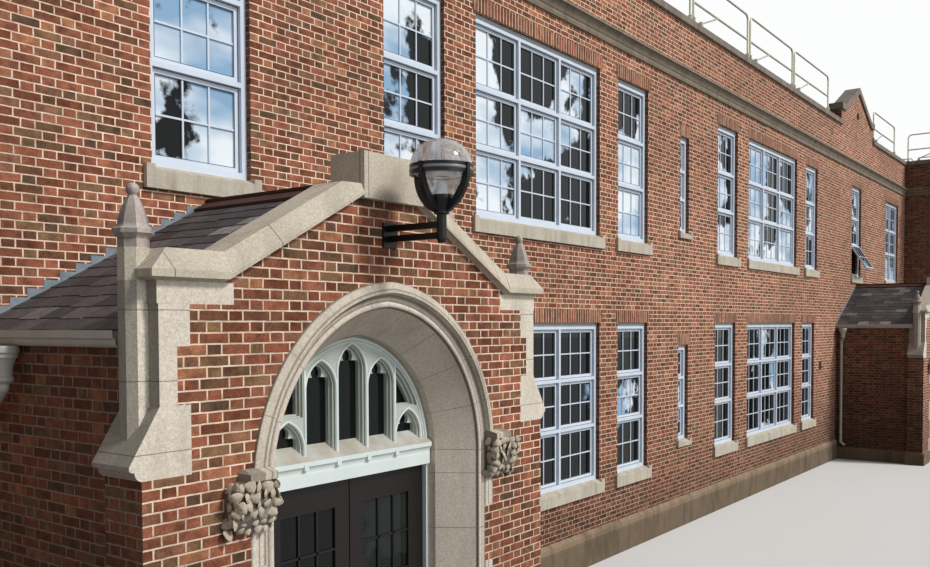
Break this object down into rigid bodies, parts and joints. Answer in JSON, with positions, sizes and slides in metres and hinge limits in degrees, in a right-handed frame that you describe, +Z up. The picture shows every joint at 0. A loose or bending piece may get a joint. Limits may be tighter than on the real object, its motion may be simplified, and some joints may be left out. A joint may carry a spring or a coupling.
{
  "type": "school building",
  "caption": "Brick school range with stone-dressed gabled entrance porches, pointed arched doorways, glazed doors that open inwards, tall small-paned windows and a parapet.",
  "frame": {"origin": "under the middle of the main range, on the ground", "axes": "+X along the front to the right, +Y into the building, +Z up"},
  "size_m": [37.95, 14.02, 10.4688],
  "materials": {
    "brick": "matt red-brown brick",
    "stonework": "matt buff limestone",
    "concrete": "matt concrete",
    "slate": "matt grey slate",
    "white_timber": "white gloss paint",
    "dark_door": "dark brown satin paint",
    "glass": "clear",
    "painted_iron": "cream gloss paint",
    "galvanised": "dull galvanised",
    "black_iron": "black gloss paint",
    "lead": "dull lead"
  },
  "bodies": {
    "building": {"arch_surrounds": "stonework", "back_wall": "brick", "corner_stones": "stonework", "door_hinges": "black_iron", "door_screens": "white_timber", "front_wall_lower": "brick", "front_wall_upper": "brick", "ground_floor": "concrete", "gutters_and_downpipes": "painted_iron", "hood_moulds": "stonework", "lamp_bracket": "black_iron", "lamp_globe": "glass", "left_end_wall": "brick", "open_window_light": "white_timber", "parapet": "brick", "parapet_coping": "stonework", "pinnacles": "stonework", "plinth": "stonework", "porch_copings": "stonework", "porch_floors": "concrete", "porch_front_piers": "brick", "porch_gables": "brick", "porch_roofs": "slate", "porch_side_walls": "brick", "right_end_wall": "brick", "roof_deck": "concrete", "roof_flashings": "lead", "roof_guard_rails": "galvanised", "string_course": "stonework", "tympanum_glass": "glass", "tympanum_tracery": "white_timber", "upper_floor": "concrete", "wall_vent": "galvanised", "window_frames": "white_timber", "window_glass": "glass", "window_sills": "stonework", "wing_walls": "brick"},
    "near_door_left": {"near_door_left": "dark_door", "near_door_left_glass": "glass"},
    "near_door_right": {"near_door_right": "dark_door", "near_door_right_glass": "glass"},
    "far_door_left": {"far_door_left": "dark_door", "far_door_left_glass": "glass"},
    "far_door_right": {"far_door_right": "dark_door", "far_door_right_glass": "glass"}
  },
  "joints": [
    {"name": "near_door_left_hinge", "type": "hinge", "parent": "building", "child": "near_door_left", "pos_m": [-16.202, -7.097, 1.318], "axis": [0, 0, 1], "range_deg": [0, 90]},
    {"name": "near_door_right_hinge", "type": "hinge", "parent": "building", "child": "near_door_right", "pos_m": [-14.388, -7.097, 1.318], "axis": [0, 0, -1], "range_deg": [0, 90]},
    {"name": "far_door_left_hinge", "type": "hinge", "parent": "building", "child": "far_door_left", "pos_m": [6.613, -7.097, 1.318], "axis": [0, 0, 1], "range_deg": [0, 90]},
    {"name": "far_door_right_hinge", "type": "hinge", "parent": "building", "child": "far_door_right", "pos_m": [8.427, -7.097, 1.318], "axis": [0, 0, -1], "range_deg": [0, 90]}
  ]
}
